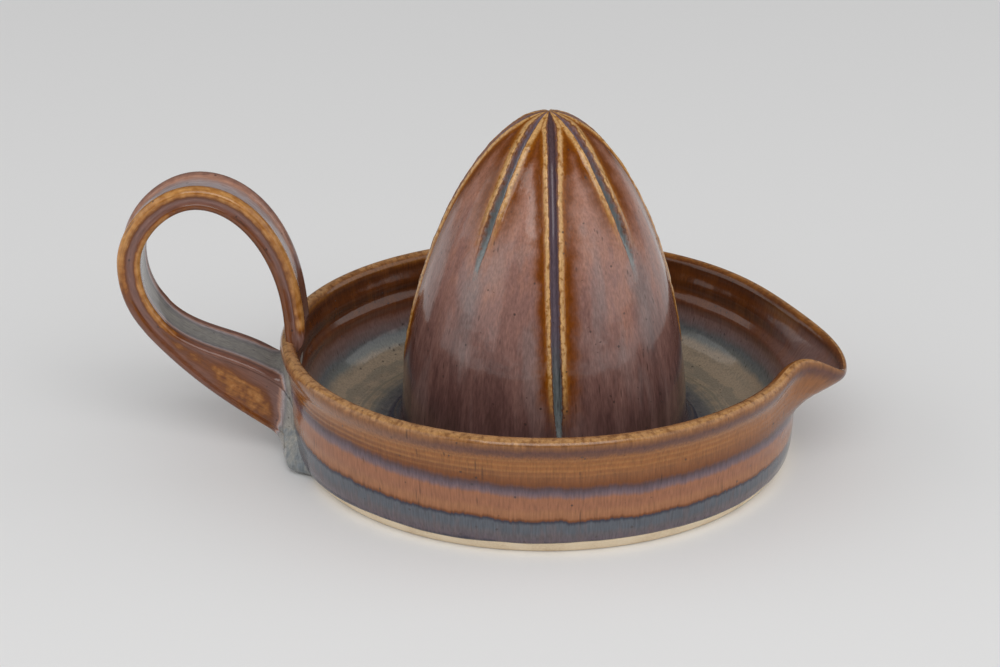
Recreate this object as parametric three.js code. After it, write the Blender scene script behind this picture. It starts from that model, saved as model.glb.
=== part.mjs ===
// A hand-thrown stoneware citrus juicer: a low round dish with a pulled spout, a hollow fluted
// reamer luted to its floor, and a pulled strap handle bent into a finger loop on the rim and wall.
// Millimetres, +Z up. The handle points along -X and the spout along +X, a little to the front.
import * as THREE from 'three';
import { mergeVertices } from 'three/addons/utils/BufferGeometryUtils.js';

// Clear space between two clay pieces that meet on a curved face
const lutingGap = 0.3;

// Dish: floor, wall and the round bead rolled on the rim. Insets are taken from the rim's outside.
const rimRadius = 70;
const rimHeight = 33.3;
const beadRadius = 2.1;
const beadOutside = -55;
const beadInside = 200;
const waistInset = 2.8;
const waistDrop = 1.9;
const throatFlare = 1;
const bellyInset = 3.1;
const bellyHeight = 9;
const wallThickness = 4.5;
const floorThickness = 4;
const coveRadius = 8;
const ventLedge = 2.9;

// Foot: the bare standing ring under the floor
const footHeight = 3.2;
const footInset = 6.4;
const footWidth = 11;
const footFlare = 2.3;

// Spout: the lip pulled outwards and thinned, steeper at the front, where a flank rises beside it
const spoutAzimuth = -12.2;
const spoutReach = 12.2;
const spoutFront = 8.2;
const spoutBack = 21;
const spoutDip = 2.5;
const flankRise = 4.9;
const flankAngle = 8.2;
const flankSpread = 5.7;
const spoutDepth = 16;
const lipThinning = 0.55;
const lipSpread = 10;

// Reamer: a hollow ogive cone with long and short grooves in turn
const reamerRadius = 38.4;
const reamerHeight = 88;
const reamerWall = 5.5;
const crownThickness = 8;
const tipFlat = 1.6;
const ogiveSide = 1.8;
const ogiveTip = 0.585;
const fluteCount = 8;
const firstFlute = -84;
const grooveDepth = 1.9;
const grooveHalfWidth = 2.1;
const ridgeHeight = 0.8;
const ridgeWidth = 3.2;
const longGrooveFoot = 13;
const shortGrooveFoot = 52;
const grooveFade = 7;
const tipCrowding = 6.3;

// Coil: the roll of clay smoothed into the corner round the reamer
const coilWidth = 4.5;
const coilHeight = 4;
const coilEdge = 0.8;

// Handle: centre line of the strap, measured from the rim's outside and crest
const loopReach = 38.8;
const loopSideRise = 20.4;
const loopTopOut = 20.5;
const loopTopRise = 39.4;
const loopRoundness = 0.55;
const shoulderRoundness = 0.5;
const rootDrop = 18.3;
const rootSlope = 35;
const rootLead = 17.8;
const strapWidth = 15;
const strapThickness = 6.2;
const strapTipThickness = 5.4;
const rootWidth = 19;
const rootThickness = 13.6;
const edgeBead = 1.5;
const edgeShare = 0.22;
const channelDepth = 0.9;
const tipShare = 0.3;
const widenShare = 0.4;
const rootShare = 0.72;

// Handle joints: clay pressed over the rim, and the wiped pad and tail on the wall
const saddleHeight = 2.4;
const crownTrim = 0.5;
const saddleOverhang = 3.5;
const saddleEdge = 0.6;
const saddleOutside = 50;
const saddleInside = 172;
const padThickness = 3.9;
const padDrop = 5.8;
const padBorder = 3;
const padEdge = 0.8;
const tailSpread = 7.5;
const tailThickness = 3.6;
const tailGap = 0.9;

const roundSegments = 96;
const degree = Math.PI / 180;

const floorTop = footHeight + floorThickness;
const footRadius = rimRadius - footInset;
const bellyRadius = rimRadius - bellyInset;
const waistRadius = rimRadius - waistInset;
const beadCentre = new THREE.Vector2(rimRadius - beadRadius, rimHeight - beadRadius);
const waistHeight = beadCentre.y - waistDrop;
const ventRadius = reamerRadius - reamerWall - ventLedge;
const rootHeight = rimHeight - rootDrop;

// A bell curve: 1 at the middle, fading to nothing
function bell(offset, spread) {
  return Math.exp(-((offset / spread) ** 2));
}

// Points on an arc about a centre, from one angle to another in degrees
function arc(centre, radius, from, to, steps) {
  const points = [];
  for (let i = 0; i <= steps; i += 1) {
    const angle = (from + ((to - from) * i) / steps) * degree;
    points.push(new THREE.Vector2(
      centre.x + radius * Math.cos(angle),
      centre.y + radius * Math.sin(angle),
    ));
  }
  return points;
}

// A ring turned about the upright axis from a closed profile of radius and height
function turned(profile) {
  const geometry = new THREE.LatheGeometry([...profile, profile[0].clone()], roundSegments);
  geometry.rotateX(Math.PI / 2);
  return closed(geometry);
}

// Merged vertices and outward faces, ready to stand as one closed body
function closed(geometry) {
  geometry.deleteAttribute('normal');
  geometry.deleteAttribute('uv');
  const merged = mergeVertices(geometry, 1e-4);
  const position = merged.getAttribute('position');
  const index = merged.getIndex();
  const corners = [new THREE.Vector3(), new THREE.Vector3(), new THREE.Vector3()];
  const kept = [];
  let volume = 0;
  for (let i = 0; i < index.count; i += 3) {
    const face = [index.getX(i), index.getX(i + 1), index.getX(i + 2)];
    if (new Set(face).size === 3) {
      face.forEach((vertex, k) => corners[k].fromBufferAttribute(position, vertex));
      volume += corners[0].dot(corners[1].clone().cross(corners[2]));
      kept.push(...face);
    }
  }
  merged.setIndex(volume > 0 ? kept : kept.reverse());
  merged.computeVertexNormals();
  return merged;
}

// A skin over rings with equal point counts, closed by a strip of triangles at each end
function skinned(rings) {
  const count = rings[0].length;
  const faces = [];
  for (let k = 0; k + 1 < rings.length; k += 1) {
    for (let i = 0; i < count; i += 1) {
      const a = k * count + i;
      const b = k * count + ((i + 1) % count);
      faces.push(a, b, a + count, b, b + count, a + count);
    }
  }
  const last = (rings.length - 1) * count;
  for (let i = 0; i + 1 < count / 2; i += 1) {
    const j = count - 1 - i;
    faces.push(i, j, i + 1, j, j - 1, i + 1);
    faces.push(last + i, last + i + 1, last + j, last + j, last + i + 1, last + j - 1);
  }
  const geometry = new THREE.BufferGeometry();
  geometry.setFromPoints(rings.flat());
  geometry.setIndex(faces);
  return closed(geometry);
}

// Radius of the outside of the wall: from the foot out to the belly and up to the rim's waist
const wallCurve = new THREE.SplineCurve([
  new THREE.Vector2(footRadius + footFlare, footHeight),
  new THREE.Vector2(bellyRadius, bellyHeight),
  new THREE.Vector2(waistRadius, waistHeight),
]);
const wallPoints = wallCurve.getPoints(6);

function wallRadius(height) {
  const upper = wallPoints.findIndex((point) => point.y >= height);
  if (upper === 0) {
    return footRadius + (footFlare * Math.max(height, 0)) / footHeight;
  }
  if (upper < 0) {
    return waistRadius;
  }
  const [low, high] = [wallPoints[upper - 1], wallPoints[upper]];
  return low.x + ((high.x - low.x) * (height - low.y)) / (high.y - low.y);
}

function footRing() {
  const inner = footRadius - footWidth;
  return turned([
    new THREE.Vector2(inner, 0),
    new THREE.Vector2(footRadius, 0),
    new THREE.Vector2(footRadius + footFlare, footHeight),
    new THREE.Vector2(inner, footHeight),
  ]);
}

// The lip is thinned, pulled out and dips at its middle, while the flank beside it rises
function pullSpout(geometry) {
  const position = geometry.getAttribute('position');
  const point = new THREE.Vector3();
  for (let i = 0; i < position.count; i += 1) {
    point.fromBufferAttribute(position, i);
    const radius = Math.hypot(point.x, point.y);
    const azimuth = Math.atan2(point.y, point.x);
    const turn = azimuth / degree - spoutAzimuth;
    const below = Math.max(0, rimHeight - 2 * beadRadius - point.z);
    const height = Math.max(0, 1 - below / spoutDepth);
    const pull = radius > rimRadius - coveRadius - wallThickness ? height ** 2 : 0;
    const lip = bell(turn, turn > 0 ? spoutBack : spoutFront) * pull;
    const flank = bell(turn + flankAngle, flankSpread) * pull;
    const thin = below > 0 ? 1 : 1 - lipThinning * bell(turn, lipSpread);
    const reached = beadCentre.x + (radius - beadCentre.x) * thin + spoutReach * lip;
    const raised = beadCentre.y + (point.z - beadCentre.y) * thin;
    position.setXYZ(
      i,
      reached * Math.cos(azimuth),
      reached * Math.sin(azimuth),
      raised + flankRise * flank - spoutDip * lip,
    );
  }
  return closed(geometry);
}

function dish() {
  const innerRadius = bellyRadius - wallThickness;
  const coveCentre = new THREE.Vector2(innerRadius - coveRadius, floorTop + coveRadius);
  return pullSpout(turned([
    new THREE.Vector2(ventRadius, footHeight),
    ...wallPoints,
    ...arc(beadCentre, beadRadius, beadOutside, beadInside, 8),
    new THREE.Vector2(innerRadius + throatFlare, waistHeight - beadRadius),
    ...arc(coveCentre, coveRadius, 0, -90, 5),
    new THREE.Vector2(ventRadius, floorTop),
  ]));
}

// Radius of an ogive at a share of its height: upright at the foot, blunt at the tip
function ogive(share) {
  return (1 - share ** ogiveSide) ** ogiveTip;
}

// How far a groove and its two ridges stand off the cone, at a distance from the groove's middle
function fluteRelief(offset, height, isLong) {
  const foot = isLong ? longGrooveFoot : shortGrooveFoot;
  const along = THREE.MathUtils.smoothstep(height, foot - grooveFade, foot + grooveFade);
  const groove = Math.max(0, 1 - (offset / grooveHalfWidth) ** 2);
  const ridge = bell(Math.abs(offset) - grooveHalfWidth, ridgeWidth / 2);
  return along * (ridgeHeight * ridge * (1 - groove) - grooveDepth * groove);
}

// One level of the reamer's outside, with points gathered at the flutes
function flutedRing(height) {
  const radius = reamerRadius * ogive(height / reamerHeight);
  const offsets = [-2, -1.1, -0.75, -0.4, 0, 0.4, 0.75, 1.1, 2];
  const pitch = 360 / fluteCount;
  const widest = 0.42 * pitch;
  const slender = Math.min(1, radius / tipCrowding);
  const ring = [];
  for (let flute = 0; flute < fluteCount; flute += 1) {
    const middle = firstFlute + flute * pitch;
    const turns = offsets.map((offset) => {
      const free = (offset * (grooveHalfWidth + ridgeWidth / 4)) / radius / degree;
      const limit = (Math.abs(offset) / offsets.at(-1)) * widest;
      return THREE.MathUtils.clamp(free, -limit, limit);
    });
    for (const turn of [...turns, pitch / 2]) {
      const offset = turn * degree * radius;
      const relief = slender * fluteRelief(offset / slender, height, flute % 2 === 0);
      const azimuth = (middle + turn) * degree;
      ring.push(new THREE.Vector3(
        (radius + relief) * Math.cos(azimuth),
        (radius + relief) * Math.sin(azimuth),
        floorTop + height,
      ));
    }
  }
  return ring;
}

// Hollow inside, open at the foot so that no air is shut in
function hollowRing(height, count) {
  const hollowHeight = reamerHeight - crownThickness;
  const radius = (reamerRadius - reamerWall) * ogive(height / hollowHeight);
  const ring = [];
  for (let i = 0; i < count; i += 1) {
    const azimuth = firstFlute * degree + (i / count) * 2 * Math.PI;
    ring.push(new THREE.Vector3(
      radius * Math.cos(azimuth),
      radius * Math.sin(azimuth),
      floorTop + height,
    ));
  }
  return ring;
}

function reamer() {
  const tip = (1 - (tipFlat / reamerRadius) ** (1 / ogiveTip)) ** (1 / ogiveSide);
  const outside = [];
  const levels = 20;
  for (let i = 0; i <= levels; i += 1) {
    const share = Math.sin(((i / levels) * Math.PI) / 2);
    outside.push(flutedRing(share * tip * reamerHeight));
  }
  const inside = [];
  const hollowLevels = 7;
  for (let i = 0; i <= hollowLevels; i += 1) {
    const share = Math.cos(((i / hollowLevels) * Math.PI) / 2);
    const nearTop = tip * (reamerHeight - crownThickness);
    inside.push(hollowRing(share * nearTop, outside[0].length));
  }
  return skinned([...inside, ...outside]);
}

function reamerCoil() {
  const foot = reamerRadius + lutingGap;
  const hollow = new THREE.Vector2(foot + coilWidth, floorTop + coilHeight);
  const fillet = arc(hollow, 1, 180, 270, 3).map((point) => new THREE.Vector2(
    hollow.x + (point.x - hollow.x) * (coilWidth - coilEdge),
    hollow.y + (point.y - hollow.y) * (coilHeight - coilEdge),
  ));
  return turned([
    new THREE.Vector2(foot, floorTop),
    new THREE.Vector2(foot + coilWidth, floorTop),
    ...fillet.reverse(),
    new THREE.Vector2(foot, floorTop + coilHeight),
  ]);
}

// Centre line of the strap in its upright plane: up from the rim, over the loop, down to the wall
const padFace = wallRadius(rootHeight) + padThickness;

function strapPath() {
  const point = (out, height) => new THREE.Vector3(-out, 0, height);
  const start = point(beadCentre.x - beadRadius, rimHeight + saddleHeight);
  const top = point(rimRadius + loopTopOut, rimHeight + loopTopRise);
  const side = point(rimRadius + loopReach, rimHeight + loopSideRise);
  const root = point(padFace + lutingGap, rootHeight);
  const rise = top.z - start.z;
  const over = start.x - top.x;
  const past = top.x - side.x;
  const fall = top.z - side.z;
  const drop = side.z - root.z;
  const lead = point(Math.cos(rootSlope * degree), Math.sin(rootSlope * degree));
  const path = new THREE.CurvePath();
  path.add(new THREE.CubicBezierCurve3(
    start,
    start.clone().add(point(0, loopRoundness * rise)),
    top.clone().sub(point(loopRoundness * over, 0)),
    top,
  ));
  path.add(new THREE.CubicBezierCurve3(
    top,
    top.clone().add(point(shoulderRoundness * past, 0)),
    side.clone().add(point(0, shoulderRoundness * fall)),
    side,
  ));
  path.add(new THREE.CubicBezierCurve3(
    side,
    side.clone().sub(point(0, loopRoundness * drop)),
    root.clone().add(lead.multiplyScalar(rootLead)),
    root,
  ));
  return path;
}

// Section of the strap: a beaded edge on each side and a shallow channel along both faces
function strapSection(centre, outward, width, thickness) {
  const half = width / 2;
  const across = [-half, edgeBead - half, -half / 2, 0, half / 2, half - edgeBead, half];
  const face = (side, channel) => across.map((y, i) => {
    const atEdge = i === 0 || i === across.length - 1;
    const hollow = channel * Math.cos((y / (half - edgeBead)) * (Math.PI / 2)) ** 2;
    const lift = atEdge ? thickness * edgeShare : thickness / 2 - hollow;
    return centre.clone().addScaledVector(outward, side * lift).setY(y);
  });
  return [...face(1, channelDepth), ...face(-1, channelDepth / 2).reverse()];
}

function handleStrap() {
  const path = strapPath();
  const steps = 40;
  const upright = new THREE.Vector3(0, 0, -1);
  const rings = [];
  for (let i = 0; i <= steps; i += 1) {
    const share = i / steps;
    const centre = path.getPointAt(share);
    const tangent = path.getTangentAt(share);
    const outward = new THREE.Vector3(0, 1, 0).cross(tangent);
    const rooted = THREE.MathUtils.smoothstep(share, rootShare, 1);
    const tipped = 1 - THREE.MathUtils.smoothstep(share, 0, tipShare);
    const widened = THREE.MathUtils.smoothstep(share, widenShare, 1);
    outward.lerp(upright, rooted).normalize();
    const thickness = strapThickness
      + (strapTipThickness - strapThickness) * tipped
      + (rootThickness - strapThickness) * rooted;
    const width = strapWidth + (rootWidth - strapWidth) * widened;
    rings.push(strapSection(centre, outward, width, thickness));
  }
  return skinned(rings);
}

// Clay pressed over the rim's bead, with a flat on top for the strap
function handleRimJoint() {
  const top = rimHeight + saddleHeight;
  const halfLength = strapWidth / 2 + saddleOverhang;
  const steps = 10;
  const rings = [];
  for (let i = 0; i <= steps; i += 1) {
    const along = -halfLength + (2 * halfLength * i) / steps;
    const turn = Math.PI + along / beadCentre.x;
    const held = 1 - THREE.MathUtils.smoothstep(Math.abs(along), strapWidth / 2, halfLength);
    const under = beadRadius + lutingGap;
    const over = under + saddleEdge + (saddleHeight - saddleEdge + crownTrim) * held;
    const crown = new THREE.Vector2(beadCentre.x - beadRadius * held, beadCentre.y);
    const upper = arc(crown, over, saddleOutside, saddleInside, 12);
    const lower = arc(beadCentre, under, saddleInside, saddleOutside, 12);
    rings.push([...upper, ...lower].map((point) => new THREE.Vector3(
      point.x * Math.cos(turn),
      point.x * Math.sin(turn),
      Math.min(point.y, top),
    )));
  }
  return skinned(rings);
}

// Pad wiped on to the wall behind the strap's root, with a tail drawn down to the foot
function handleWallPad() {
  const padTop = rimHeight - padDrop;
  const steps = 12;
  const across = 14;
  const rings = [];
  for (let i = 0; i <= steps; i += 1) {
    const height = tailGap + ((padTop - tailGap) * i) / steps;
    const inner = wallRadius(height) + lutingGap;
    const low = 1 - THREE.MathUtils.smoothstep(height, tailGap, rootHeight - rootThickness / 2);
    const half = rootWidth / 2 + padBorder + tailSpread * low;
    const raised = 1 - THREE.MathUtils.smoothstep(height, rootHeight + rootThickness / 2, padTop);
    const outer = [];
    const wall = [];
    for (let j = 0; j <= across; j += 1) {
      const y = -half + (2 * half * j) / across;
      const turn = Math.asin(y / inner);
      const held = 1 - THREE.MathUtils.smoothstep(Math.abs(y), half - padBorder, half);
      const skin = inner + padEdge;
      const face = padFace / Math.cos(turn);
      const full = face + (inner + tailThickness - face) * low;
      const radius = skin + (full - skin) * held * raised;
      outer.push(new THREE.Vector3(-radius * Math.cos(turn), radius * Math.sin(turn), height));
      wall.push(new THREE.Vector3(-inner * Math.cos(turn), inner * Math.sin(turn), height));
    }
    rings.push([...outer, ...wall.reverse()]);
  }
  return skinned(rings);
}

// One named clay piece with its own finish
function piece(name, geometry, color, roughness) {
  const material = new THREE.MeshStandardMaterial({ color, roughness, metalness: 0 });
  const mesh = new THREE.Mesh(geometry, material);
  mesh.name = name;
  return mesh;
}

const handle = new THREE.Group();
handle.add(
  piece('handle_strap', handleStrap(), '#8f6350', 0.28),
  piece('handle_rim_joint', handleRimJoint(), '#9b8a86', 0.25),
  piece('handle_wall_pad', handleWallPad(), '#8f9a98', 0.25),
);

const juicer = new THREE.Group();
juicer.add(
  piece('foot_ring', footRing(), '#e5d3b3', 0.8),
  piece('dish', dish(), '#9a6a3c', 0.25),
  piece('reamer', reamer(), '#7d5347', 0.22),
  piece('reamer_coil', reamerCoil(), '#5f6670', 0.22),
  handle,
);

// The origin lies on the table, under the middle of the whole juicer
const extent = new THREE.Box3().setFromObject(juicer);
const middle = extent.getCenter(new THREE.Vector3());
juicer.position.set(-middle.x, -middle.y, 0);

export default juicer;
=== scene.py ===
import math

import bmesh
import bpy
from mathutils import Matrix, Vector, noise


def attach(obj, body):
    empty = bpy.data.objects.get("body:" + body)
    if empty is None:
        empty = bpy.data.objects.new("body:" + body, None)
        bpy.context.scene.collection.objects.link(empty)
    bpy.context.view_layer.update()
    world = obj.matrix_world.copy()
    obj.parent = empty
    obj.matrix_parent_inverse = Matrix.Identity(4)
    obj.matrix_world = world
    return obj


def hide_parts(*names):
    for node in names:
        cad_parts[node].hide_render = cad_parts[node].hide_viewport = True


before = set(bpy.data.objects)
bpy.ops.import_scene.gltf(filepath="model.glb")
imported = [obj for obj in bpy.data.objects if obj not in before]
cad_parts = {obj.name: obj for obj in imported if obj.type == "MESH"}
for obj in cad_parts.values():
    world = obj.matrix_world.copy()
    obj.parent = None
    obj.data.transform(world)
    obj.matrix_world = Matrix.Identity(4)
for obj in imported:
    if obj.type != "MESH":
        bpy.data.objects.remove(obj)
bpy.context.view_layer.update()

# Foot: the bare ring of cream stoneware that the dish stands on. It was trimmed on the wheel, wiped
# clean of glaze and sponged smooth, and is one clay body with the floor above it.
mm = 0.001
axis_x = 15.959
foot_radius = 63.6
foot_inner = 52.6
foot_flare = 2.3
foot_height = 3.2
foot_top = 4.6
belly_top = 14
swell_out = 0.85
swell_low = 9
swell_high = 27
around = 480


def smooth(value, low, high):
    share = min(1.0, max(0.0, (value - low) / (high - low)))
    return share * share * (3 - 2 * share)


def bell(offset, spread):
    return math.exp(-((offset / spread) ** 2))


def wall_radius(height):
    """Outside of the foot and wall in mm, at a height in mm."""
    flare = foot_radius + foot_flare * min(height, foot_height) / foot_height
    belly = 1 - (1 - smooth(height, foot_height, belly_top) ** 0.5) ** 2 if height > foot_height else 0
    return flare + belly + swell_out * smooth(height, swell_low, swell_high)


def skin(name, rings, values, joined):
    """A mesh over rings of points in mm. Joined rings close on the first one, others are capped."""
    count = len(rings[0])
    points = [Vector(point) * mm for ring in rings for point in ring]
    faces = []
    for i in range(len(rings) if joined else len(rings) - 1):
        low = i * count
        high = (i + 1) % len(rings) * count
        for j in range(count):
            k = (j + 1) % count
            faces.append((low + j, low + k, high + k, high + j))
    if not joined:
        faces.append(tuple(range(count)))
        faces.append(tuple(range(len(points) - count, len(points))))
    mesh = bpy.data.meshes.new(name)
    mesh.from_pydata(points, [], faces)
    for label, data in values.items():
        flat = [value for ring in data for value in ring]
        if isinstance(flat[0], float):
            layer = mesh.attributes.new(label, "FLOAT", "POINT")
            layer.data.foreach_set("value", flat)
        else:
            layer = mesh.attributes.new(label, "FLOAT_VECTOR", "POINT")
            layer.data.foreach_set("vector", [part * mm for vector in flat for part in vector])
    shape = bmesh.new()
    shape.from_mesh(mesh)
    bmesh.ops.remove_doubles(shape, verts=shape.verts, dist=1e-6)
    bmesh.ops.recalc_face_normals(shape, faces=shape.faces)
    shape.to_mesh(mesh)
    shape.free()
    mesh.shade_smooth()
    piece = bpy.data.objects.new(name, mesh)
    bpy.context.collection.objects.link(piece)
    return piece


class Wire:
    """A socket in a node tree that can be written into sums."""

    def __init__(self, tree, socket=None):
        self.tree = tree
        self.socket = socket

    def node(self, kind, settings, sockets, output=0):
        node = self.tree.nodes.new(kind)
        for key, value in settings.items():
            setattr(node, key, value)
        for key, value in sockets.items():
            if isinstance(value, Wire):
                self.tree.links.new(value.socket, node.inputs[key])
            else:
                node.inputs[key].default_value = value
        return Wire(self.tree, node.outputs[output])

    def sum(self, operation, first, second=0.0):
        return self.node("ShaderNodeMath", {"operation": operation}, {0: first, 1: second})

    def __add__(self, other):
        return self.sum("ADD", self, other)

    def __radd__(self, other):
        return self.sum("ADD", other, self)

    def __sub__(self, other):
        return self.sum("SUBTRACT", self, other)

    def __rsub__(self, other):
        return self.sum("SUBTRACT", other, self)

    def __mul__(self, other):
        return self.sum("MULTIPLY", self, other)

    def __rmul__(self, other):
        return self.sum("MULTIPLY", other, self)

    def __truediv__(self, other):
        return self.sum("DIVIDE", self, other)

    def __rtruediv__(self, other):
        return self.sum("DIVIDE", other, self)

    def __pow__(self, other):
        return self.sum("POWER", self, other)

    def __abs__(self):
        return self.sum("ABSOLUTE", self)

    def least(self, other):
        return self.sum("MINIMUM", self, other)

    def most(self, other):
        return self.sum("MAXIMUM", self, other)

    def smooth(self, low, high):
        ends = {"Value": self, "From Min": low, "From Max": high}
        return self.node("ShaderNodeMapRange", {"interpolation_type": "SMOOTHSTEP"}, ends)

    def bell(self, spread):
        return self.sum("EXPONENT", (self / spread) ** 2.0 * -1.0)

    def towards(self, goal, share):
        return self + (goal - self) * share

    def attribute(self, label, output):
        return self.node("ShaderNodeAttribute", {"attribute_name": label}, {}, output)

    def noise(self, place, scale, detail=2.0):
        return self.node("ShaderNodeTexNoise", {}, {"Vector": place, "Scale": scale, "Detail": detail})

    def ramp(self, stops):
        node = self.tree.nodes.new("ShaderNodeValToRGB")
        self.tree.links.new(self.socket, node.inputs[0])
        row = node.color_ramp.elements
        row.remove(row[1])
        row[0].position = stops[0][0]
        row[0].color = (*stops[0][1], 1.0)
        for place, colour in stops[1:]:
            row.new(place).color = (*colour, 1.0)
        return Wire(self.tree, node.outputs[0])

    def blend(self, share, other, how="MIX"):
        settings = {"data_type": "RGBA", "blend_type": how}
        return self.node("ShaderNodeMix", settings, {0: share, 6: self, 7: other}, 2)


def finished(name, colour, roughness, lift, depth):
    """A material from wires for colour, roughness and fine relief."""
    tree = colour.tree
    shader = tree.nodes["Principled BSDF"]
    tree.links.new(colour.socket, shader.inputs["Base Color"])
    tree.links.new(roughness.socket, shader.inputs["Roughness"])
    bump = colour.node("ShaderNodeBump", {}, {"Height": lift, "Distance": depth, "Strength": 1.0})
    tree.links.new(bump.socket, shader.inputs["Normal"])
    return bpy.data.materials[name]


def blank(name):
    material = bpy.data.materials.new(name)
    material.use_nodes = True
    return Wire(material.node_tree)


clay = blank("clay_look")
clay_place = clay.node("ShaderNodeTexCoord", {}, {}, "Object")
clay_grain = clay.noise(clay_place, 1800.0, 3.0)
clay_cloud = clay.noise(clay_place, 140.0)
clay_tone = (clay_grain * 0.4 + clay_cloud * 0.6).ramp([
    (0.3, (0.66, 0.51, 0.34)),
    (0.5, (0.80, 0.66, 0.47)),
    (0.7, (0.85, 0.72, 0.54)),
])
bare_clay = finished("clay_look", clay_tone, clay_cloud * 0.1 + 0.7, clay_grain, 0.00008)

foot_profile = [
    (foot_inner, 0.9), (foot_inner + 0.7, 0.15), (foot_inner + 1.6, 0.0), (57, 0.0), (60.5, 0.0),
    (foot_radius - 0.9, 0.0), (foot_radius - 0.2, 0.12), (foot_radius + 0.2, 0.5),
    (foot_radius + 0.6, 0.9), (foot_radius + 1.2, 1.75), (foot_radius + 1.8, 2.6),
    (foot_radius + 2.25, 3.3), (foot_radius + 2.3, 4.2), (63.5, foot_top), (57, foot_top),
    (foot_inner, foot_top),
]
foot_rings = []
for radius, height in foot_profile:
    ring = []
    for i in range(around):
        turn = 2 * math.pi * i / around
        ring.append((axis_x + radius * math.cos(turn), radius * math.sin(turn), height))
    foot_rings.append(ring)
foot = skin("standing_ring", foot_rings, {}, True)
foot.data.materials.append(bare_clay)
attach(foot, "root")
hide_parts("foot_ring")

# Dish: floor and wall thrown in one, a round bead rolled on the rim and a spout pulled while soft.
# Its glossy glaze breaks tan where it is thin, and pools blue-grey by the foot and on the floor.
rim_height = 33.3
bead_radius = 2.1
bead_out = 67.9
bead_up = 31.2
waist_height = 27.3
inner_radius = 62.9
floor_top = 7.2
cove_radius = 11.0
vent_radius = 30.0
spout_turn = -12.2
spout_reach = 12.2
spout_near = 8.2
spout_far = 21.0
spout_dip = 2.5
flank_rise = 4.9
flank_turn = 8.2
flank_spread = 5.7
spout_depth = 20.8
floor_under = 3.9
floor_inner = 36
ring_radius = 47.5
ring_rise = 0.5
bead_start = 10
bead_sweep = 160
cove_start = 10
cove_sweep = 80
wall_steps = 55
bead_steps = 24
inner_steps = 24
cove_steps = 16
floor_steps = 24
throwing_height = 22.8
pad_radius = 67


def glaze_edge(turn):
    """Height in mm at which the glaze stops above the bare foot."""
    ripple = noise.noise((3 * math.cos(turn), 3 * math.sin(turn), 0.5))
    fine = noise.noise((11 * math.cos(turn), 11 * math.sin(turn), 4.5))
    by_tail = bell(math.degrees(turn) - 193, 16)
    return 3.5 + 0.45 * ripple + 0.18 * fine - 2.0 * by_tail


def dish_profile(turn):
    """Points of radius, height and course: 0 to 1 up the outside, to 2 down the inside, to 3 inwards."""
    edge = glaze_edge(turn)
    points = [(wall_radius(edge) - 0.5, edge + 0.1, edge / rim_height)]
    points.append((wall_radius(edge) + 0.12, edge - 0.05, edge / rim_height))
    thin = 1 - 0.55 * bell((math.degrees(turn) - spout_turn + 180) % 360 - 180, 10)
    for i in range(wall_steps + 1):
        height = edge + 0.12 + (bead_up - edge - 0.12) * i / wall_steps
        ripple = 0.07 * math.sin(height * 4.2) * smooth(height, 20, 23) * (1 - smooth(height, 25, 27))
        thrown = ripple + 0.05 * math.sin(height * 1.3)
        roll = 0.25 + 0.12 * bell(height - edge - 0.5, 0.5) - 0.1 * bell(height - waist_height, 1.6)
        radius = wall_radius(height) + roll + thrown
        rolled = smooth(height, waist_height - 2.6, bead_up + 0.5)
        radius += (bead_out + bead_radius * thin - radius) * rolled
        points.append((radius, height, height / rim_height))
    fall = rim_height - floor_top
    for i in range(1, bead_steps + 1):
        around_bead = math.radians(bead_start + bead_sweep * i / bead_steps)
        radius = bead_out + bead_radius * thin * math.cos(around_bead)
        height = bead_up + bead_radius * thin * math.sin(around_bead)
        inner_course = 1 + (rim_height - height) / fall
        points.append((radius, height, height / rim_height if around_bead < math.pi / 2 else inner_course))
    cove_top = floor_top + cove_radius * (1 - math.sin(math.radians(cove_start)))
    lip_radius, lip_height = points[-1][:2]
    for i in range(1, inner_steps + 1):
        share = i / inner_steps
        height = lip_height + (cove_top - lip_height) * share
        throwing_ring = (0.08 + 0.34 * bell(height - throwing_height, 3.5)) * math.sin(height * 1.1)
        radius = lip_radius + (inner_radius - lip_radius) * share + throwing_ring
        points.append((radius, height, 1 + (rim_height - height) / fall))
    floor_radius = inner_radius - cove_radius * math.cos(math.radians(cove_start))
    for i in range(1, cove_steps + 1):
        low = math.radians(cove_start + cove_sweep * i / cove_steps)
        radius = floor_radius + cove_radius * math.cos(low)
        height = floor_top + cove_radius * (1 - math.sin(low))
        points.append((radius, height, 1 + (rim_height - height) / fall))
    for i in range(1, floor_steps + 1):
        radius = floor_radius - (floor_radius - floor_inner) * i / floor_steps
        height = floor_top + ring_rise * bell(radius - ring_radius, 2.4)
        points.append((radius, height, 2 + (floor_radius - radius) / 20))
    points.append((vent_radius, floor_top, 3.0))
    points.append((vent_radius, floor_under, -1.0))
    points.append((foot_inner, floor_under, -1.0))
    return points


def pulled(radius, height, turn):
    """A point of the wall after the spout is pulled: the lip goes out and its flanks rise."""
    offset = (math.degrees(turn) - spout_turn + 180) % 360 - 180
    pull = smooth(height, rim_height - spout_depth, bead_up) ** 1.7 if radius > 57.5 else 0.0
    lip = bell(offset, spout_far if offset > 0 else spout_near) * pull
    flank = bell(offset + flank_turn, flank_spread) * pull
    height += flank_rise * flank - spout_dip * lip
    return radius + spout_reach * lip, height


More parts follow.
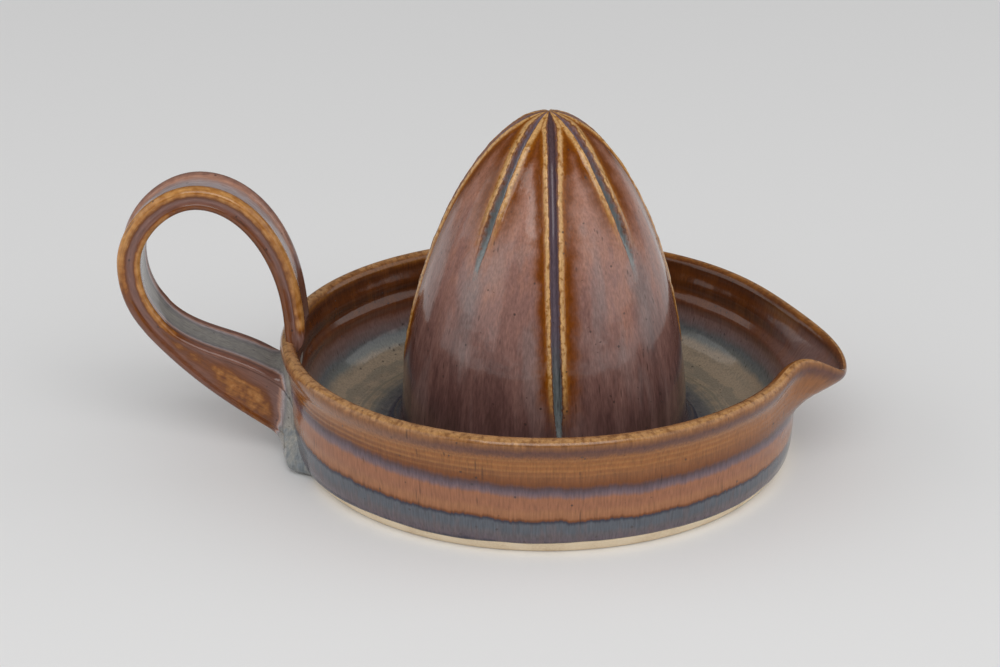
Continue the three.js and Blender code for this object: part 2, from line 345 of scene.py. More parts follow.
dish_columns = [dish_profile(2 * math.pi * i / around) for i in range(around)]
dish_rings = []
dish_course = []
dish_flow = []
dish_pooled = []
for k in range(len(dish_columns[0])):
    ring = []
    course_ring = []
    flow_ring = []
    pooled_ring = []
    for i, column in enumerate(dish_columns):
        turn = 2 * math.pi * i / around
        radius, height, course = column[k]
        reached, raised = pulled(radius, height, turn)
        ring.append((axis_x + reached * math.cos(turn), reached * math.sin(turn), raised))
        course_ring.append(float(course))
        flow_ring.append((radius * math.cos(turn), radius * math.sin(turn), height / 9))
        by_pad = (1 - smooth(abs(turn - math.pi) * pad_radius, 6, 11)) * (1 - smooth(height, 22, 29))
        pooled_ring.append(by_pad if course < 1 else 0.0)
    dish_rings.append(ring)
    dish_course.append(course_ring)
    dish_flow.append(flow_ring)
    dish_pooled.append(pooled_ring)
dish_values = {"course": dish_course, "flow": dish_flow, "pooled": dish_pooled}
dish = skin("thrown_dish", dish_rings, dish_values, True)

amber = (0.34, 0.145, 0.033)
umber = (0.17, 0.050, 0.009)
bark = (0.075, 0.022, 0.007)
ochre = (0.29, 0.107, 0.028)
salmon = (0.31, 0.125, 0.062)
plum = (0.090, 0.045, 0.045)
slate = (0.095, 0.105, 0.125)
mist = (0.22, 0.245, 0.23)
sand = (0.35, 0.27, 0.19)
navy = (0.030, 0.030, 0.050)


def glazed(name, colour, wire, flow):
    """The glossy finish shared by all glazed pieces: runs, pits, specks and a slightly wavy surface."""
    place = wire.node("ShaderNodeTexCoord", {}, {}, "Object")
    fine = wire.noise(flow, 2300.0, 3.0)
    run = wire.node("ShaderNodeTexVoronoi", {}, {"Vector": flow, "Scale": 620.0})
    tick = (1.0 - run.smooth(0.08, 0.22)) * wire.noise(flow, 240.0, 1.0).smooth(0.52, 0.6)
    spots = wire.node("ShaderNodeTexVoronoi", {}, {"Vector": place, "Scale": 420.0})
    speck = (1.0 - spots.smooth(0.08, 0.18)) * wire.noise(place, 300.0, 1.0).smooth(0.56, 0.62)
    toned = colour.blend(1.0, fine.ramp([(0.3, (0.78,) * 3), (0.7, (1.16,) * 3)]), "MULTIPLY")
    dark = (tick * 0.5).most(speck * 0.8)
    dotted = toned.blend(dark, (0.022, 0.010, 0.007, 1.0))
    wave = wire.noise(place, 160.0, 2.0)
    roughness = wave * 0.08 + dark * 0.25 + 0.08
    return finished(name, dotted, roughness, wave + fine * 0.12, 0.00012)


dish_wire = blank("dish_look")
dish_flow_wire = dish_wire.attribute("flow", "Vector")
dish_place = dish_wire.node("ShaderNodeTexCoord", {}, {}, "Object")
feather = dish_wire.noise(dish_flow_wire, 1300.0, 3.0)
drift = dish_wire.noise(dish_flow_wire, 90.0, 2.0)
mottle = dish_wire.noise(dish_place, 330.0, 3.0)
course_wire = dish_wire.attribute("course", "Fac")
spoutward = dish_wire.node("ShaderNodeSeparateXYZ", {}, {0: dish_place}, 0)
backward = dish_wire.node("ShaderNodeSeparateXYZ", {}, {0: dish_place}, 1)
slant = (spoutward - 0.020) * (2.3 - spoutward.smooth(0.0, 0.05) * 1.6)
tilt = slant * course_wire * (1.0 - course_wire.smooth(0.72, 0.88))
comb = dish_wire.noise(dish_flow_wire, 420.0, 2.0)
shifted = course_wire + tilt + (feather - 0.5) * 0.032 + (drift - 0.5) * 0.04 + (comb - 0.5) * 0.035
outer_bands = shifted.ramp([
    (0.100, navy), (0.122, (0.115, 0.088, 0.105)), (0.180, (0.115, 0.102, 0.112)), (0.215, slate),
    (0.268, slate), (0.292, navy), (0.308, umber), (0.330, (0.31, 0.125, 0.052)),
    (0.365, (0.33, 0.14, 0.062)), (0.41, salmon), (0.485, salmon), (0.515, (0.18, 0.11, 0.115)),
    (0.545, (0.115, 0.078, 0.095)), (0.575, plum), (0.605, umber),
    (0.68, (0.23, 0.085, 0.026)), (0.74, ochre), (0.835, ochre), (0.870, (0.16, 0.062, 0.034)),
    (0.900, (0.125, 0.050, 0.036)), (0.930, (0.19, 0.075, 0.030)), (0.952, (0.25, 0.105, 0.036)),
    (0.972, (0.35, 0.165, 0.060)), (0.986, (0.44, 0.228, 0.085)), (1.0, (0.43, 0.228, 0.097)),
])
spout_side = spoutward.smooth(-0.02, 0.06)
pooling = course_wire - 1.0 + (drift - 0.5) * 0.06 + spout_side * 0.06 + (mottle - 0.5) * 0.05
inner_bands = pooling.ramp([
    (0.0, (0.43, 0.228, 0.097)), (0.014, (0.35, 0.16, 0.055)), (0.03, (0.22, 0.085, 0.025)),
    (0.055, (0.27, 0.10, 0.018)), (0.085, (0.13, 0.038, 0.008)), (0.12, bark), (0.22, (0.11, 0.030, 0.007)),
    (0.32, bark), (0.44, (0.14, 0.042, 0.014)), (0.54, (0.15, 0.055, 0.030)), (0.61, (0.19, 0.105, 0.088)),
    (0.70, (0.185, 0.132, 0.128)), (0.77, (0.135, 0.143, 0.148)), (0.84, (0.17, 0.178, 0.165)),
    (0.90, sand), (1.0, sand),
])
trace_place = {"W": course_wire + drift * 0.06, "Scale": 9.0}
trace = dish_wire.node("ShaderNodeTexNoise", {"noise_dimensions": "1D"}, trace_place)
ground = (course_wire - 2.0 + (mottle - 0.5) * 0.2 + (trace - 0.5) * 0.3).ramp([
    (0.0, sand), (0.18, (0.31, 0.24, 0.165)), (0.32, (0.18, 0.17, 0.15)),
    (0.44, (0.09, 0.095, 0.105)), (0.56, navy),
])
lines = dish_wire.sum("SINE", course_wire * 140.0 + (drift - 0.5) * 5.0).smooth(-0.4, 1.0)
ochre_zone = course_wire.smooth(0.66, 0.72) * (1.0 - course_wire.smooth(0.82, 0.85))
ochre_zone = ochre_zone * (1.0 - spoutward.smooth(0.06, 0.074))
outer_bands = outer_bands.blend(lines * ochre_zone * (mottle * 0.9), (0.38, 0.165, 0.046, 1.0))
blue_runs = dish_wire.noise(dish_flow_wire, 520.0, 2.0).smooth(0.48, 0.62)
blue_zone = (1.0 - course_wire.smooth(0.25, 0.30)) * blue_runs
outer_bands = outer_bands.blend(blue_zone * 0.35, (0.15, 0.105, 0.105, 1.0))
inner_share = course_wire.smooth(0.995, 1.005)
ground_share = course_wire.smooth(1.97, 2.03)
thin_side = (course_wire - 0.89).bell(0.045) * (1.0 - spoutward.smooth(-0.045, 0.005))
outer_bands = outer_bands.blend(thin_side * 0.75, (0.33, 0.15, 0.065, 1.0))
banded = outer_bands.blend(inner_share, inner_bands).blend(ground_share, ground)
worn_rim = (course_wire - 1.0).bell(0.07) * dish_wire.noise(dish_place, 640.0, 3.0).smooth(0.44, 0.68)
banded = banded.blend(worn_rim * 0.65, (0.13, 0.045, 0.015, 1.0))
ring_zone = course_wire.smooth(1.86, 1.95) * (1.0 - course_wire.smooth(2.25, 2.4))
ring_zone = ring_zone * (trace + (mottle - 0.5) * 0.5).smooth(0.42, 0.62)
banded = banded.blend(ring_zone * 0.5, (0.17, 0.165, 0.135, 1.0))
# Inside the spout the glaze is lifted to a pale lilac-grey: partly the glaze's own plum tint there, partly a
# painted reflection that widens the light seen in the spout's hollow.
spout_tint_and_sheen = spoutward.smooth(0.072, 0.086) * course_wire.smooth(1.03, 1.12)
spout_tint_and_sheen = spout_tint_and_sheen * (1.0 - course_wire.smooth(1.4, 1.6))
banded = banded.blend(spout_tint_and_sheen * 0.6, (0.23, 0.145, 0.135, 1.0))
fold_zone = (spoutward - 0.077).bell(0.006) * (backward - 0.012).bell(0.010)
fold_zone = fold_zone * course_wire.smooth(1.03, 1.06) * (1.0 - course_wire.smooth(1.13, 1.19))
banded = banded.blend(fold_zone * 0.85, (0.30, 0.115, 0.008, 1.0))
wall_zone = course_wire.smooth(1.04, 1.09) * (1.0 - course_wire.smooth(1.4, 1.6))
wall_zone = wall_zone * dish_wire.noise(dish_flow_wire, 300.0, 3.0).smooth(0.42, 0.7)
banded = banded.blend(wall_zone * 0.22, (0.24, 0.075, 0.012, 1.0))
run_down = dish_wire.attribute("pooled", "Fac") + (feather - 0.5) * 0.5
dish_colour = banded.blend(run_down.smooth(0.3, 0.7), (*mist, 1.0))
dish_glaze = glazed("dish_look", dish_colour, dish_wire, dish_flow_wire)
dish.data.materials.append(dish_glaze)
dish.data.materials.append(bare_clay)
for polygon in dish.data.polygons:
    underside = polygon.center.z < (floor_under + 0.05) * mm and polygon.normal.z < -0.9
    from_axis = math.hypot(polygon.center.x - axis_x * mm, polygon.center.y)
    polygon.material_index = 1 if underside or from_axis < (vent_radius + 0.3) * mm else 0
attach(dish, "root")
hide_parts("dish")

# Reamer: a hollow cone thrown on its own and luted to the floor, with a coil smoothed round its foot.
# Eight grooves, long and short in turn, were cut upwards to the tip and raised a sharp edge each side.
rule = bpy.data.node_groups.new("reamer_rule", "GeometryNodeTree")
rule.interface.new_socket("Geometry", in_out="OUTPUT", socket_type="NodeSocketGeometry")
reamer_sizes = {
    "Foot radius": 0.0384,
    "Height": 0.088,
    "Flutes": 8.0,
    "First flute": math.radians(-84),
    "Groove depth": 0.0015,
    "Groove groove_half width": 0.00135,
    "Ridge height": 0.0010,
    "Long groove foot": 0.0125,
    "Short groove foot": 0.0545,
    "Foot fillet": 0.0046,
    "Wall": 0.0055,
    "Crown": 0.008,
    "Floor height": 0.00705,
    "Lean": 0.0009,
    "Bow": 0.0013,
    "Side swing": math.radians(9),
}
for label, value in reamer_sizes.items():
    socket = rule.interface.new_socket(label, in_out="INPUT", socket_type="NodeSocketFloat")
    socket.default_value = value
given = rule.nodes.new("NodeGroupInput")
start = Wire(rule)
size = {label: Wire(rule, given.outputs[label]) for label in reamer_sizes}
flutes = size["Flutes"]
columns = 417
cone_rows = 200
hollow_rows = 40
grid = start.node("GeometryNodeMeshGrid", {}, {"Size X": 1.0, "Size Y": 1.0,
                                               "Vertices X": columns, "Vertices Y": cone_rows})
spot = start.node("GeometryNodeInputPosition", {}, {})
sideways = start.node("ShaderNodeSeparateXYZ", {}, {0: spot}, 0)
upwards = start.node("ShaderNodeSeparateXYZ", {}, {0: spot}, 1)
count = (sideways + 0.5) * flutes
flute = start.sum("FLOOR", count + 0.5)
part = count - flute
gathered = start.sum("SIGN", part) * 0.5 * (abs(part) * 2.0) ** 1.8
pitch = 2 * math.pi / flutes
even = (flute + gathered) * pitch
swing = start.sum("SINE", even) * start.sum("COSINE", even * 2.0) * size["Side swing"]
turn = even - swing + size["First flute"]
climb = upwards + 0.5
share = climb * climb * (3.0 - climb * 2.0)
height = share * size["Height"]
taper = (1.0 - share ** 1.8).most(0.0) ** 0.585
plain = size["Foot radius"] * taper
wander_place = start.node("ShaderNodeCombineXYZ", {}, {0: flute * 7.3, 1: height * 90.0, 2: 0.5})
wander = start.noise(wander_place, 1.0) - 0.5
short = start.sum("FLOORED_MODULO", flute, 2.0)
groove_foot = size["Long groove foot"].towards(size["Short groove foot"], short)
index = start.sum("FLOORED_MODULO", flute, flutes)
span = ((height - groove_foot) / (size["Height"] - groove_foot)).most(0.0)
bent = start.sum("LESS_THAN", index, 1.5) - start.sum("GREATER_THAN", index, 6.5) * 0.8
bow = size["Bow"] * bent * span * (1.0 - span) * 4.0
slender = (plain / 0.0063).least(1.0)
offset = (gathered * pitch * plain + bow) / slender.most(0.001) + wander * 0.0007
off = abs(offset)
opened = height.smooth(groove_foot - 0.006, groove_foot + 0.009)
upper = share.smooth(0.55, 0.95) * 0.35 * short
groove_half = size["Groove groove_half width"] * (opened * 0.25 + 0.75) * (1.0 - upper) * (1.0 - short * 0.15)
groove = (1.0 - off.smooth(groove_half * 0.45, groove_half)) * opened
burr_place = start.node("ShaderNodeCombineXYZ", {}, {0: count * 2.0, 1: height * 420.0, 2: 3.5})
burr = start.noise(burr_place, 1.0, 2.0) * 0.9 + 0.55
crest_begins = height.smooth(groove_foot - 0.002, groove_foot + 0.012)
crest = (off - groove_half - 0.0003).bell(0.0008) * crest_begins * burr
swell = (off - groove_half - 0.0012).bell(0.002) * opened
relief = slender * (size["Ridge height"] * (crest * 0.75 + swell * 0.35) - size["Groove depth"] * groove)
fillet = size["Foot fillet"]
into = fillet - height.least(fillet)
skirt = fillet - (fillet * fillet - into * into).most(0.0) ** 0.5
radius = plain + relief + skirt
cone_x = axis_x * mm + 0.0003
reach_x = start.sum("COSINE", turn) * radius + share * size["Lean"] + cone_x
reach_y = start.sum("SINE", turn) * radius
place = start.node("ShaderNodeCombineXYZ", {}, {0: reach_x, 1: reach_y, 2: height + size["Floor height"]})
inner_grid = start.node("GeometryNodeMeshGrid", {}, {"Size X": 1.0, "Size Y": 1.0,
                                                     "Vertices X": columns, "Vertices Y": hollow_rows})
hollow_height = size["Height"] - size["Crown"]
joined_foot = upwards.smooth(-0.48, -0.5)
hollow = (size["Foot radius"] - size["Wall"]) * taper
hollow_radius = hollow.towards(radius, joined_foot)
hollow_x = start.sum("COSINE", turn) * hollow_radius + cone_x
hollow_y = start.sum("SINE", turn) * hollow_radius
hollow_place = start.node("ShaderNodeCombineXYZ", {}, {0: hollow_x, 1: hollow_y,
                                                       2: share * hollow_height + size["Floor height"]})
side = start.sum("SIGN", part)
mirror = start.sum("SIGN", 3.5 - index)
edge = (off - groove_half) / (side * mirror * 0.14 + 1.12)
begins = (height - groove_foot) / 0.03
cut_place = start.node("ShaderNodeCombineXYZ", {}, {0: edge * 1000.0, 1: begins, 2: share})
flow_place = start.node("ShaderNodeCombineXYZ", {}, {0: reach_x, 1: reach_y, 2: height / 9.0})
toned = start.node("GeometryNodeStoreNamedAttribute", {"data_type": "FLOAT_VECTOR", "domain": "POINT"},
                   {"Geometry": grid, "Name": "cut", "Value": cut_place})
flowing = start.node("GeometryNodeStoreNamedAttribute", {"data_type": "FLOAT_VECTOR", "domain": "POINT"},
                     {"Geometry": toned, "Name": "flow", "Value": flow_place})
cone = start.node("GeometryNodeSetPosition", {}, {"Geometry": flowing, "Position": place})
marked = start.node("GeometryNodeStoreNamedAttribute", {"data_type": "FLOAT", "domain": "FACE"},
                    {"Geometry": inner_grid, "Name": "bare", "Value": 1.0})
inside_cone = start.node("GeometryNodeSetPosition", {}, {"Geometry": marked, "Position": hollow_place})
both = rule.nodes.new("GeometryNodeJoinGeometry")
rule.links.new(cone.socket, both.inputs[0])
rule.links.new(inside_cone.socket, both.inputs[0])
closed = start.node("GeometryNodeMergeByDistance", {}, {"Geometry": Wire(rule, both.outputs[0]),
                                                        "Distance": 1e-6})
real = start.node("GeometryNodeRealizeInstances", {}, {"Geometry": closed})

reamer_wire = blank("reamer_look")
reamer_flow = reamer_wire.attribute("flow", "Vector")
reamer_place = reamer_wire.node("ShaderNodeTexCoord", {}, {}, "Object")
cut = reamer_wire.attribute("cut", "Vector")
edge_wire = reamer_wire.node("ShaderNodeSeparateXYZ", {}, {0: cut}, 0)
reach_wire = reamer_wire.node("ShaderNodeSeparateXYZ", {}, {0: cut}, 1)
climb_wire = reamer_wire.node("ShaderNodeSeparateXYZ", {}, {0: cut}, 2)
jag = reamer_wire.noise(reamer_place, 800.0, 3.0)
tuft = reamer_wire.noise(reamer_place, 260.0, 2.0)
streak = reamer_wire.noise(reamer_flow, 620.0, 3.0)
drawn_out = reamer_wire.node("ShaderNodeMapping", {}, {"Vector": reamer_flow, "Scale": (1.0, 1.0, 0.4)})
broad = reamer_wire.noise(drawn_out, 150.0, 3.0)
body = (climb_wire + (streak - 0.5) * 0.4 + (broad - 0.5) * 0.75).ramp([
    (0.0, (0.080, 0.038, 0.032)), (0.14, (0.105, 0.050, 0.044)), (0.30, (0.16, 0.080, 0.068)),
    (0.50, (0.25, 0.130, 0.108)), (0.75, (0.35, 0.170, 0.120)), (1.0, (0.29, 0.110, 0.058)),
])
veil = reamer_wire.noise(reamer_flow, 150.0, 3.0).smooth(0.5, 0.68) * climb_wire.smooth(0.05, 0.35)
body = body.blend(veil * 0.4, (0.25, 0.19, 0.18, 1.0))
near = edge_wire + (jag - 0.5) * 0.8
begun = reach_wire + (jag - 0.5) * 0.3
halo = near.smooth(-0.3, 0.3) * begun.smooth(-0.05, 0.55)
halo = halo * (1.0 - (near + (tuft - 0.5) * 4.5).smooth(2.2, 6.2))
burnt = (near / 6.0).ramp([
    (0.0, amber), (0.17, (0.31, 0.115, 0.008)), (0.26, (0.23, 0.065, 0.002)), (0.40, (0.15, 0.036, 0.001)),
    (0.60, (0.17, 0.045, 0.006)), (0.9, (0.22, 0.08, 0.035)),
])
body = body.blend(halo, burnt)
thin_edge = near.smooth(0.0, 0.3) * begun.smooth(0.1, 0.7)
thin_edge = thin_edge * (1.0 - (near + (tuft - 0.5) * 1.2).smooth(0.8, 1.6))
body = body.blend(thin_edge * jag.smooth(0.3, 0.55), (0.58, 0.33, 0.13, 1.0))
# A thin dark line along both edges of every groove is painted shade, standing in for the shadow where the
# groove drops away.
body = body.blend((near + 0.02).bell(0.15) * begun.smooth(0.0, 0.2) * 0.6, (*bark, 1.0))
pooled = (begun / 2.5).ramp([
    (0.0, (0.19, 0.21, 0.21)), (0.20, (0.17, 0.185, 0.19)), (0.36, (0.17, 0.13, 0.16)),
    (0.8, (0.14, 0.09, 0.11)), (1.0, (0.10, 0.055, 0.055)),
])
body = body.blend((1.0 - near.smooth(-0.4, 0.0)) * begun.smooth(-0.22, 0.02), pooled)
drip = (1.0 - near.smooth(-0.5, 3.0)) * (1.0 - begun.smooth(-0.3, 0.05)) * begun.smooth(-1.1, -0.2)
body = body.blend(drip * 0.55, (0.19, 0.175, 0.175, 1.0))
body = body.blend(1.0 - climb_wire.smooth(0.006, 0.05), (*navy, 1.0))
reamer_glaze = glazed("reamer_look", body, reamer_wire, reamer_flow)
coated = start.node("GeometryNodeSetMaterial", {}, {"Geometry": real, "Material": reamer_glaze})
bare = start.node("GeometryNodeInputNamedAttribute", {"data_type": "FLOAT"}, {"Name": "bare"})
finish = start.node("GeometryNodeSetMaterial", {}, {"Geometry": coated, "Selection": bare,
                                                    "Material": bare_clay})
result = rule.nodes.new("NodeGroupOutput")
rule.links.new(finish.socket, result.inputs[0])
seed = bpy.data.objects.new("reamer_seed", bpy.data.meshes.new("reamer_seed"))
bpy.context.collection.objects.link(seed)
maker = seed.modifiers.new("rule", "NODES")
maker.node_group = rule
for item in rule.interface.items_tree:
    if item.in_out == "INPUT":
        maker[item.identifier] = reamer_sizes[item.name]
reamer_mesh = bpy.data.meshes.new_from_object(seed.evaluated_get(bpy.context.evaluated_depsgraph_get()))
bpy.data.objects.remove(seed)
shape = bmesh.new()
shape.from_mesh(reamer_mesh)
bmesh.ops.remove_doubles(shape, verts=shape.verts, dist=1e-6)
bmesh.ops.recalc_face_normals(shape, faces=shape.faces)
shape.to_mesh(reamer_mesh)
shape.free()
reamer_mesh.shade_smooth()
reamer = bpy.data.objects.new("fluted_cone", reamer_mesh)
bpy.context.collection.objects.link(reamer)
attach(reamer, "root")
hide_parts("reamer", "reamer_coil")

# Handle: a strap pulled from a lump of clay, with a bead left along each edge, bent into a finger loop.
# Its upper end is pressed over the rim, and its thick root runs into the wall with a soft fillet.
strap_width = 15.0
root_width = 19.0
strap_thickness = 6.2
root_growth = 10.4
curve_steps = 60
top_sample = 150
root_sample = 200


def bezier(points, share):
    """A point on a cubic curve with four control points."""
    a, b, c, d = [Vector(point) for point in points]
    rest = 1 - share
    return a * rest ** 3 + b * 3 * rest ** 2 * share + c * 3 * rest * share ** 2 + d * share ** 3


strap_curves = [
    ((65.6, 24.5), (65.2, 28.5), (65.6, 32.5), (65.8, 35.7)),
    ((65.8, 35.7), (65.8, 56.05), (76.9, 72.7), (90.5, 72.7)),
    ((90.5, 72.7), (99.65, 72.7), (108.8, 63.2), (108.8, 53.7)),
    ((108.8, 53.7), (108.8, 32.4), (85.7, 25.2), (71.1, 15.2)),
    ((71.1, 15.2), (68.6, 13.5), (66.1, 11.8), (64.6, 10.8)),
]
strap_line = []
for points in strap_curves:
    for i in range(curve_steps):
        strap_line.append(bezier(points, i / curve_steps))
strap_line.append(Vector(strap_curves[-1][-1]))
strap_run = [0.0]
for a, b in zip(strap_line, strap_line[1:]):
    strap_run.append(strap_run[-1] + (b - a).length)
strap_start = strap_run[curve_steps]
strap_end = strap_run[4 * curve_steps]


def strap_section(width, thickness, flat):
    """Across, outward and tone round the strap: outer face, side, inner face and other side."""
    half = width / 2
    up = thickness / 2
    channel = 0.95 * flat
    hollow = 0.35 * flat
    right = [
        (0, up - channel, 0.71), (0.2 * half, up - channel * 0.96, 0.71),
        (0.4 * half, up - channel * 0.8, 0.66), (half - 3.9, up - channel * 0.5, 0.50),
        (half - 3.0, up - channel * 0.12, 0.22), (half - 2.1, up + 0.05, 0.14),
        (half - 1.2, up - 0.05, 0.08), (half - 0.5, up - 0.45, 0.08), (half - 0.05, up - 1.1, 0.10),
        (half, up - 1.8, 0.14), (half - 0.35, up - 2.5, 0.32), (half - 0.55, 0, 0.53),
        (half - 0.35, 2.1 - up, 0.46), (half - 0.02, 1.5 - up, 0.25), (half - 0.02, 0.9 - up, 0.12),
        (half - 0.45, 0.35 - up, 0.10), (half - 1.2, -up, 0.20), (half - 2.2, 0.1 - up, 0.48),
        (0.5 * half, hollow * 0.7 - up, 0.78), (0.25 * half, hollow - up, 0.85), (0, hollow - up, 0.85),
    ]
    left = [(-across, out, tone) for across, out, tone in right[-2:0:-1]]
    keys = right + left
    dense = []
    for i in range(len(keys)):
        a, b, c, d = [Vector(keys[(i + k) % len(keys)]) for k in (-1, 0, 1, 2)]
        for step in (0.0, 0.5):
            dense.append(0.5 * (2 * b + (c - a) * step + (2 * a - 5 * b + 4 * c - d) * step ** 2
                                + (3 * b - a - 3 * c + d) * step ** 3))
    return dense


def pad_rise(across, height):
    """How far the clay wiped on to the wall stands off it, at a place across and up the wall."""
    low = 1 - smooth(height, 2, 13)
    off = across + 5.5 * low
    reach = 11.0 + 5.0 * low - 4.5 * smooth(height, 13, 28)
    near_end = 1 - smooth(-off, reach - 3.5, reach + 2.5)
    far_end = 1 - smooth(off, reach - 7.0, reach + 4.0)
    side = near_end if off < 0 else far_end
    toe = math.sqrt(max(0.0, 1 - max(0.0, (1.9 - height) / 1.2) ** 2))
    tail = 2.0 * (1 - smooth(height, 0.5, 6)) * (1 - smooth(across, -12, 2))
    return (3.4 + tail) * side * (1 - smooth(height, 19, 29)) * toe


def filleted(section, here):
    """The section where the strap meets the wall, grown outwards so that it runs into the wall."""
    count = len(section)
    ways = []
    swells = []
    tones = []
    for k, (across, out, tone) in enumerate(section):
        ahead = section[(k + 1) % count] - section[k - 1]
        away = Vector((-ahead.y, ahead.x)).normalized()
        beside = across + 3 * away.x
        height = max(0.0, min(30.0, here.y - out - 3 * away.y))
        wall = wall_radius(height) + pad_rise(beside, height)
        gap = here.x - math.sqrt(wall ** 2 - beside ** 2)
        fillet = (4.6 - 1.4 * away.y) * (1 - 0.45 * smooth(away.x, 0.1, 0.7))
        rest = min(1.0, max(0.0, 1 - gap / fillet))
        ways.append(away)
        swells.append(fillet * (1 - math.sqrt(1 - rest ** 2)))
        pale = 1 - smooth(gap, 0.6, 5.0 if across < 2 else 9.0)
        tones.append(tone + (0.88 - tone) * pale)
    grown = []
    for k, (across, out, tone) in enumerate(section):
        swell = sum(swells[(k + j) % count] for j in range(-4, 5)) / 9
        grown.append(Vector((across + ways[k].x * swell, out + ways[k].y * swell, tones[k])))
    return grown


strap_rings = []
strap_tone = []
strap_flow = []
strap_worn = []
for i in list(range(0, root_sample, 2)) + list(range(root_sample, len(strap_line))):
    here = strap_line[i]
    ahead = strap_line[min(i + 1, len(strap_line) - 1)]
    behind = strap_line[max(i - 1, 0)]
    tangent = (ahead - behind).normalized()
    share = (strap_run[i] - strap_start) / (strap_end - strap_start)
    rooted = smooth(share, 0.72, 1.0)
    tipped = 1 - smooth(share, 0.0, 0.3)
    outward = Vector((-tangent.y, tangent.x)).lerp(Vector((0, -1)), rooted).normalized()
    pressed = 1 - smooth(here.y, 30, 41) if i < top_sample else 0.0
    buried = 1 - smooth(here.y, 24, 31) if i < top_sample else 0.0
    width = strap_width + (root_width - strap_width) * smooth(share, 0.4, 1.0) + 3.2 * pressed
    thickness = strap_thickness - 0.8 * tipped + root_growth * rooted - 1.4 * buried
    flat = 1 - 0.85 * max(pressed ** 2, smooth(share, 0.9, 1.0))
    patch = smooth(share, 0.67, 0.84) * (1 - smooth(share, 0.97, 1.01))
    patch_low = smooth(share, 0.83, 0.95)
    section = strap_section(width, thickness, flat)
    if share > 0.85:
        section = filleted(section, here)
    ring = []
    tone_ring = []
    flow_ring = []
    worn_ring = []
    for across, out, tone in section:
        point = here + outward * out
        bend = point.x - math.sqrt(max(0.0, point.x ** 2 - across ** 2)) if i < root_sample else 0.0
        reach = point.x - bend * (1 - smooth(here.y, 30, 44))
        if i < top_sample:
            wall_lean = min(1.0, max(0.0, (point.y - 16.3) / 13.6))
            inner_face = math.sqrt((inner_radius + 2.5 * wall_lean + 0.9) ** 2 - across ** 2)
            overhang = 2.8 * smooth(point.y, 28.6, 34.5) + 20 * smooth(point.y, 35, 40)
            reach = max(reach, inner_face - overhang)
        ring.append((axis_x - reach, across, point.y))
        on_top = smooth(out, thickness / 2 - 2.4, thickness / 2 - 1.4)
        far_top = on_top * smooth(across, -0.5, 4.0) * (1 - rooted)
        tone += (0.60 - tone) * 0.9 * far_top
        dark_end = (1 - smooth(share, 0.07, 0.15)) * on_top
        tone += (0.36 - tone) * 0.85 * dark_end * smooth(across, 3.0 - width / 2, 4.5 - width / 2)
        by_rim = (1 - smooth(point.y, 34.2, 37.6)) * smooth(out, -2.5, 0) if i < top_sample else 0.0
        tone += (0.49 - tone) * by_rim
        rough_edge = smooth(abs(across), width / 2 - 3.6, width / 2 - 2.0)
        outer_edge = smooth(out, thickness / 2 - 2.8, thickness / 2 - 1.2) * rough_edge
        inner_edge = smooth(-out, thickness / 2 - 2.8, thickness / 2 - 1.4) * rough_edge
        lower_run = smooth(share, 0.56, 0.68) * (1 - smooth(share, 0.87, 0.95))
        tone += (0.46 - tone) * 0.85 * outer_edge * lower_run
        tone += (0.33 - tone) * 0.85 * inner_edge * (1 - smooth(share, 0.36, 0.48))
        tone += (max(tone, 0.50) - tone) * 0.9 * inner_edge * smooth(share, 0.72, 0.82)
        near_side = smooth(-across, width / 2 - 2.5, width / 2 - 0.9)
        root_run = smooth(share, 0.66, 0.8) * (1 - smooth(share, 0.93, 0.98))
        tone += (0.38 - tone) * 0.5 * near_side * root_run
        tone_ring.append(float(tone))
        flow_ring.append((across, out + 40, strap_run[i] / 9))
        centred = bell(out / thickness + 0.10 - 0.22 * patch_low, 0.17 + 0.16 * patch_low)
        worn_ring.append(float(patch * centred * near_side))
    strap_rings.append(ring)
    strap_tone.append(tone_ring)
    strap_flow.append(flow_ring)
    strap_worn.append(worn_ring)
strap_values = {"glaze": strap_tone, "flow": strap_flow, "worn": strap_worn}
strap = skin("loop_strap", strap_rings, strap_values, False)
handle_wire = blank("handle_look")
handle_flow = handle_wire.attribute("flow", "Vector")
handle_place = handle_wire.node("ShaderNodeTexCoord", {}, {}, "Object")
handle_streak = handle_wire.noise(handle_flow, 420.0, 3.0)
handle_broad = handle_wire.noise(handle_flow, 85.0, 2.0)
handle_jag = handle_wire.noise(handle_place, 560.0, 3.0)
drawn_along = handle_wire.node("ShaderNodeMapping", {}, {"Vector": handle_flow, "Scale": (1.0, 1.0, 2.2)})
handle_patch = handle_wire.noise(drawn_along, 380.0, 4.0)
handle_cloud = handle_wire.noise(handle_place, 170.0, 3.0)
handle_course = handle_wire.attribute("glaze", "Fac")
handle_drift = (handle_jag - 0.5) * 0.36 + (handle_streak - 0.5) * 0.10
handle_drift = handle_drift + (handle_broad - 0.5) * 0.12 + (handle_cloud - 0.5) * 0.22
handle_tone = handle_course + handle_drift * (1.0 - handle_course.smooth(0.18, 0.42) * 0.75)
handle_tone = handle_tone + handle_course.smooth(0.86, 0.90) * (handle_streak - 0.5) * 0.14
worn_wire = handle_wire.attribute("worn", "Fac")
handle_tone = handle_tone.towards(0.30 + (handle_cloud - 0.5) * 0.2, worn_wire.smooth(0.0, 0.6) * 0.8)
worn_share = (worn_wire * 0.8 + (handle_patch - 0.5) * 1.8).smooth(0.05, 0.8)
worn_share = worn_share * worn_wire.smooth(0.03, 0.3)
handle_tone = handle_tone.towards(0.22 + (handle_cloud - 0.5) * 0.5 + (handle_jag - 0.5) * 0.4, worn_share)
